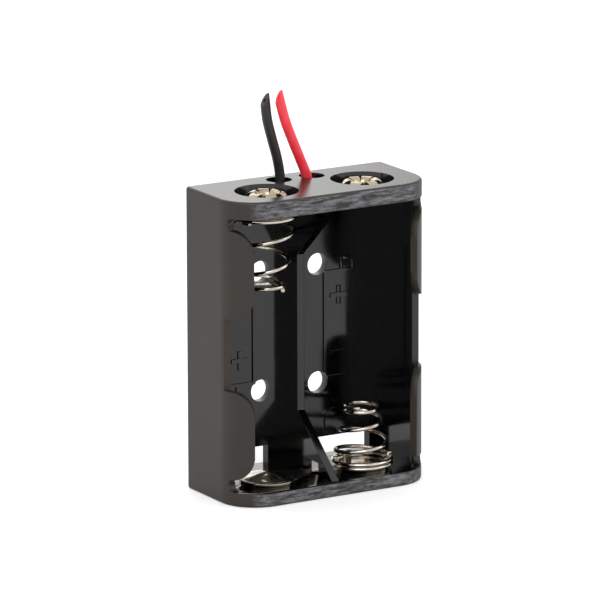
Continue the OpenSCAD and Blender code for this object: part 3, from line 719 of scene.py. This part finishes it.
def petalTree():
    names = ("Barrel radius", "Wall", "Roll radius", "Split height", "Tip share", "Roll angle", "Wander")
    tree, size = newTree("rolledPetals", [("Petals", "Int")] + [(name, "Float") for name in names])
    # one tongue is a block: X runs across the petal, Y along its roll, Z through its wall, each from -0.5 to 0.5
    block = addNode(tree, "GeometryNodeMeshCube", {"Size": (1, 1, 1), "Vertices X": 9, "Vertices Y": 15,
                                                   "Vertices Z": 3})
    x, y, z = addNode(tree, "ShaderNodeSeparateXYZ", {0: addNode(tree, "GeometryNodeInputPosition")}).outputs
    along = addNode(tree, "ShaderNodeMath", {0: y, 1: 0.5}, operation="ADD")
    bend = addNode(tree, "ShaderNodeMath", {0: along, 1: size["Roll angle"]}, operation="MULTIPLY")
    wall, rollRadius = size["Wall"], size["Roll radius"]
    middle = addNode(tree, "ShaderNodeMath", {0: wall, 1: 0.5, 2: rollRadius}, operation="MULTIPLY_ADD")
    roll = addNode(tree, "ShaderNodeMath", {0: z, 1: wall, 2: middle}, operation="MULTIPLY_ADD")
    cosine = addNode(tree, "ShaderNodeMath", {0: bend}, operation="COSINE")
    sine = addNode(tree, "ShaderNodeMath", {0: bend}, operation="SINE")
    axis = addNode(tree, "ShaderNodeMath", {0: size["Barrel radius"], 1: rollRadius}, operation="ADD")
    inward = addNode(tree, "ShaderNodeMath", {0: roll, 1: cosine}, operation="MULTIPLY")
    radius = addNode(tree, "ShaderNodeMath", {0: axis, 1: inward}, operation="SUBTRACT")
    rise = addNode(tree, "ShaderNodeMath", {0: roll, 1: sine, 2: size["Split height"]}, operation="MULTIPLY_ADD")
    # the tongue narrows to its tip, with a soft start
    sector = addNode(tree, "ShaderNodeMath", {0: math.tau, 1: size["Petals"]}, operation="DIVIDE")
    soft = addNode(tree, "ShaderNodeMath", {0: along, 1: 1.4}, operation="POWER")
    narrow = addNode(tree, "ShaderNodeMapRange", {0: soft, 3: 1.0, 4: size["Tip share"]})
    spread = addNode(tree, "ShaderNodeMath", {0: sector, 1: narrow}, operation="MULTIPLY")
    sway = addNode(tree, "ShaderNodeMath", {0: x, 1: spread}, operation="MULTIPLY")
    cosine = addNode(tree, "ShaderNodeMath", {0: sway}, operation="COSINE")
    sine = addNode(tree, "ShaderNodeMath", {0: sway}, operation="SINE")
    x = addNode(tree, "ShaderNodeMath", {0: radius, 1: cosine}, operation="MULTIPLY")
    y = addNode(tree, "ShaderNodeMath", {0: radius, 1: sine}, operation="MULTIPLY")
    point = addNode(tree, "ShaderNodeCombineXYZ", {0: x, 1: y, 2: rise})
    tongue = addNode(tree, "GeometryNodeSetPosition", {0: block, "Position": point})
    # copies round the barrel
    ring = addNode(tree, "GeometryNodeMeshLine", {"Count": size["Petals"], "Offset": (0, 0, 0)})
    number = addNode(tree, "GeometryNodeInputIndex")
    turn = addNode(tree, "ShaderNodeMath", {0: number, 1: sector}, operation="MULTIPLY")
    spin = addNode(tree, "ShaderNodeCombineXYZ", {2: turn})
    copies = addNode(tree, "GeometryNodeInstanceOnPoints", {"Points": ring, "Instance": tongue, "Rotation": spin})
    solid = addNode(tree, "GeometryNodeRealizeInstances", {0: copies})
    # each petal is bent a little its own way, by a noise about 1.5 mm across
    where = addNode(tree, "GeometryNodeInputPosition")
    where = addNode(tree, "ShaderNodeVectorMath", {0: where, 1: (500, 500, 500)}, operation="MULTIPLY")
    rough = addNode(tree, "ShaderNodeTexNoise", {"Vector": where, "Scale": 1.3, "Detail": 0.0}).outputs["Color"]
    centred = addNode(tree, "ShaderNodeVectorMath", {0: rough, 1: (-0.5, -0.5, -0.5)}, operation="ADD")
    wander = addNode(tree, "ShaderNodeVectorMath", {0: centred, "Scale": size["Wander"]}, operation="SCALE")
    bent = addNode(tree, "GeometryNodeSetPosition", {0: solid, "Offset": wander})
    whole = addNode(tree, "GeometryNodeJoinGeometry")
    tree.links.new(bent.outputs[0], whole.inputs[0])
    tree.links.new(size["Geometry"], whole.inputs[0])
    finishTree(tree, whole, eyeletBrass)
    return tree


def eyeletBarrel(name, settings):
    # the head under the contact plate, with softened rims, and the barrel up to where it splits
    outer, head, lip = settings["barrelRadius"], settings["headRadius"], settings["lip"]
    inner, low, high, top = outer - settings["wall"], settings["headLow"], settings["headHigh"], petal["Split height"]
    base = lathe(name, [(inner, low + lip), (inner + lip, low), (head - lip, low), (head, low + lip),
                        (head, high - lip / 2), (head - lip / 2, high), (outer, high), (outer, top), (inner, top)],
                 settings["sides"], eyeletBrass)
    mesh = base.data
    bpy.data.objects.remove(base)
    return mesh


rolledPetals = petalTree()
for side, x in (("left", -bay["axisX"]), ("right", bay["axisX"])):
    rivet = growPiece(side + "Eyelet", eyeletBarrel(side + "Barrel", eyelet), rolledPetals, petal)
    turned = Matrix.Rotation(math.radians(eyelet["turned"][side]), 4, "Z")
    rivet.data.transform(Matrix.Translation((x * mm, bay["axisY"] * mm, 0)) @ turned)
    smoothAll(rivet.data)
    rivet.data.set_sharp_from_angle(angle=math.radians(40))
    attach(rivet, "holder")
    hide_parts("eyelet_" + side)
print("eyelets rolled")


# routes in millimetres, as in the part's source
leads = {
    "black": {"route": [(-2.1, 3.9, 34.1), (-1.9, 4.1, 35.6), (-1.8, 4.2, 37.2), (-2.2, 4.2, 39.4), (-2.9, 4.2, 41.8),
                        (-3.5, 4.2, 44.1), (-3.8, 4.2, 46.5)], "skin": blackVinyl, "side": -1},
    "red": {"route": [(2, 3.6, 34.1), (1.7, 3.4, 35.6), (1.3, 3.3, 37.1), (0.4, 3.3, 39.2), (-0.6, 3.3, 41.5),
                      (-1.6, 3.3, 44), (-2.4, 3.3, 46.8)], "skin": redVinyl, "side": 1},
}
lead = {"diameter": 1.2 * mm, "cutSlope": 1.25, "cutEdge": 0.04 * mm, "cutBack": 0.03 * mm, "steps": 12, "sides": 28,
        "boreRadius": 0.22 * mm, "boreDepth": 0.25 * mm}


def smoothRoute(points, steps):
    # Catmull-Rom curve through the points
    p = [Vector(q) * mm for q in points]
    p = [2 * p[0] - p[1]] + p + [2 * p[-1] - p[-2]]
    line = []
    for before, a, b, after in zip(p, p[1:], p[2:], p[3:]):
        for s in range(steps):
            t = s / steps
            line.append(0.5 * (2 * a + (b - before) * t + (2 * before - 5 * a + 4 * b - after) * t * t
                               + (3 * a - before - 3 * b + after) * t ** 3))
    return line + [p[-2]]


def sweepLead(name, line, settings, material):
    # a tube along the line, cut on a slant at its end, where the wire's bore shows
    sides, slope = settings["sides"], settings["cutSlope"]
    radius, bore = settings["diameter"] / 2, settings["boreRadius"]

    def ring(centre, ahead, r, slant=0.0):
        u = Vector((0, 1, 0)).cross(ahead).normalized()
        v = ahead.cross(u)
        angles = [math.tau * j / sides for j in range(sides)]
        return [centre + r * (math.cos(a) * u + math.sin(a) * v) + slant * r * math.cos(a) * ahead for a in angles]

    tip, last = line[-1], (line[-1] - line[-2]).normalized()
    cut = [ring(tip - last * settings["cutBack"], last, radius, slope),
           ring(tip, last, radius - settings["cutEdge"], slope), ring(tip, last, bore, slope),
           ring(tip - last * settings["boreDepth"], last, bore, slope)]
    # the last plain ring stays below the slanted cut
    lowest = min(point.z for point in cut[0])
    rings = [ring(line[0], (line[1] - line[0]).normalized(), bore)]
    for i, point in enumerate(line[:-1]):
        plain = ring(point, (line[i + 1] - line[max(i - 1, 0)]).normalized(), radius)
        if (i < len(line) - 8 or i % 2) and max(q.z for q in plain) < lowest:
            rings.append(plain)
    work = bmesh.new()
    rings = [[work.verts.new(q) for q in points] for points in rings + cut]
    for low, high in zip(rings, rings[1:]):
        for j in range(sides):
            k = (j + 1) % sides
            work.faces.new((low[j], low[k], high[k], high[j]))
    work.faces.new(rings[0][::-1])
    work.faces.new(rings[-1])
    bmesh.ops.recalc_face_normals(work, faces=work.faces)
    mesh = toMesh(name, work)
    smoothAll(mesh)
    mesh.set_sharp_from_angle(angle=math.radians(50))
    return newPiece(name, mesh, material)


strand = {"Strand": 0.16 * mm, "Ring radius": 0.165 * mm, "Strands": 6, "Twist per mm": 0.55}


def strandTree():
    # six strands round one, swept along the base curve with a steady twist
    tree, size = newTree("twistedStrands", [("Strand", "Float"), ("Ring radius", "Float"), ("Strands", "Int"),
                                            ("Twist per mm", "Float")])
    length = addNode(tree, "GeometryNodeSplineParameter").outputs["Length"]
    twist = addNode(tree, "ShaderNodeMath", {0: length, 1: size["Twist per mm"]}, operation="MULTIPLY")
    twist = addNode(tree, "ShaderNodeMath", {0: twist, 1: math.tau / mm}, operation="MULTIPLY")
    core = addNode(tree, "GeometryNodeSetCurveTilt", {0: size["Geometry"], "Tilt": twist})
    half = addNode(tree, "ShaderNodeMath", {0: size["Strand"], 1: 0.5}, operation="MULTIPLY")
    wire = addNode(tree, "GeometryNodeCurvePrimitiveCircle", {"Resolution": 8, "Radius": half})
    ring = addNode(tree, "GeometryNodeMeshCircle", {"Vertices": size["Strands"], "Radius": size["Ring radius"]})
    around = addNode(tree, "GeometryNodeInstanceOnPoints", {"Points": ring, "Instance": wire})
    profile = addNode(tree, "GeometryNodeJoinGeometry")
    tree.links.new(around.outputs[0], profile.inputs[0])
    tree.links.new(wire.outputs[0], profile.inputs[0])
    profile = addNode(tree, "GeometryNodeRealizeInstances", {0: profile})
    bundle = addNode(tree, "GeometryNodeCurveToMesh", {"Curve": core, "Profile Curve": profile, "Fill Caps": True})
    finishTree(tree, bundle, strandCopper)
    return tree


def routeCurve(name, line):
    curve = bpy.data.curves.new(name, "CURVE")
    curve.dimensions = "3D"
    path = curve.splines.new("POLY")
    path.points.add(len(line) - 1)
    for point, place in zip(path.points, line):
        point.co = (*place, 1)
    return curve


drop = {"radius": 0.75 * mm, "height": 0.98 * mm, "foot": 0.80 * mm, "skirt": 0.06 * mm, "uneven": 0.06 * mm,
        "steps": 12, "sides": 36}


def solderDrop(name, place, seed, settings):
    # a pointed drop under the tag, its foot wetted out over the sheet
    radius, height, foot, skirt = settings["radius"], settings["height"], settings["foot"], settings["skirt"]
    profile = [(0, 0.0), (foot, 0.0), (foot * 0.97, -skirt / 2)]
    for k in range(1, settings["steps"]):
        a = k / settings["steps"] * math.pi / 2
        profile.append((radius * math.cos(a) ** 0.85, -skirt - (height - skirt) * math.sin(a)))
    blob = lathe(name, profile + [(0, -height)], settings["sides"], tinSolder, place)
    random.seed(seed)
    shift = Vector((random.random(), random.random(), random.random())) * 10
    for v in blob.data.vertices:
        deep = min(1, (place[2] - v.co.z) / height)
        v.co += noise.noise_vector((v.co / mm) * 0.9 + shift) * settings["uneven"] * deep
    smoothAll(blob.data)
    return blob


# the tags run from the eyelets' axes towards the wire holes, and the strands join them this far along
tag = {"angle": math.atan2(openings["wireY"] - bay["axisY"], bay["axisX"] - openings["wireX"]), "reach": 4.6 * mm,
       "undersideZ": 34.4 * mm}
twistedStrands = strandTree()
for name, facts in leads.items():
    line = smoothRoute(facts["route"], lead["steps"])
    tube = sweepLead(name + "Lead", line, lead, facts["skin"])
    start, side = line[0], facts["side"]
    joint = Vector((side * (bay["axisX"] * mm - tag["reach"] * math.cos(tag["angle"])),
                    bay["axisY"] * mm + tag["reach"] * math.sin(tag["angle"]), tag["undersideZ"]))
    # bare strands: out of the insulation, down, and up into the solder under the tag
    dip = Vector(((start.x + joint.x) / 2, (start.y + joint.y) / 2, tag["undersideZ"] - 0.8 * mm))
    core = [start + Vector((0, 0, 0.2)) * mm, start + Vector((0, -0.1, -0.5)) * mm, dip,
            joint + Vector((0, 0, -0.26)) * mm]
    route = routeCurve(name + "StrandRoute", smoothRoute([point / mm for point in core], 8))
    strands = growPiece(name + "Strands", route, twistedStrands, strand)
    blob = solderDrop(name + "Solder", joint, 3 + side, drop)
    for piece, node, slot in ((tube, "_lead", name + "_pvc"), (strands, "_core", "strands"),
                              (blob, "_solder", "solder")):
        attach(piece, "holder")
        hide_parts(name + node)
print("leads, strands and solder laid")

scene.view_settings.view_transform = "Standard"
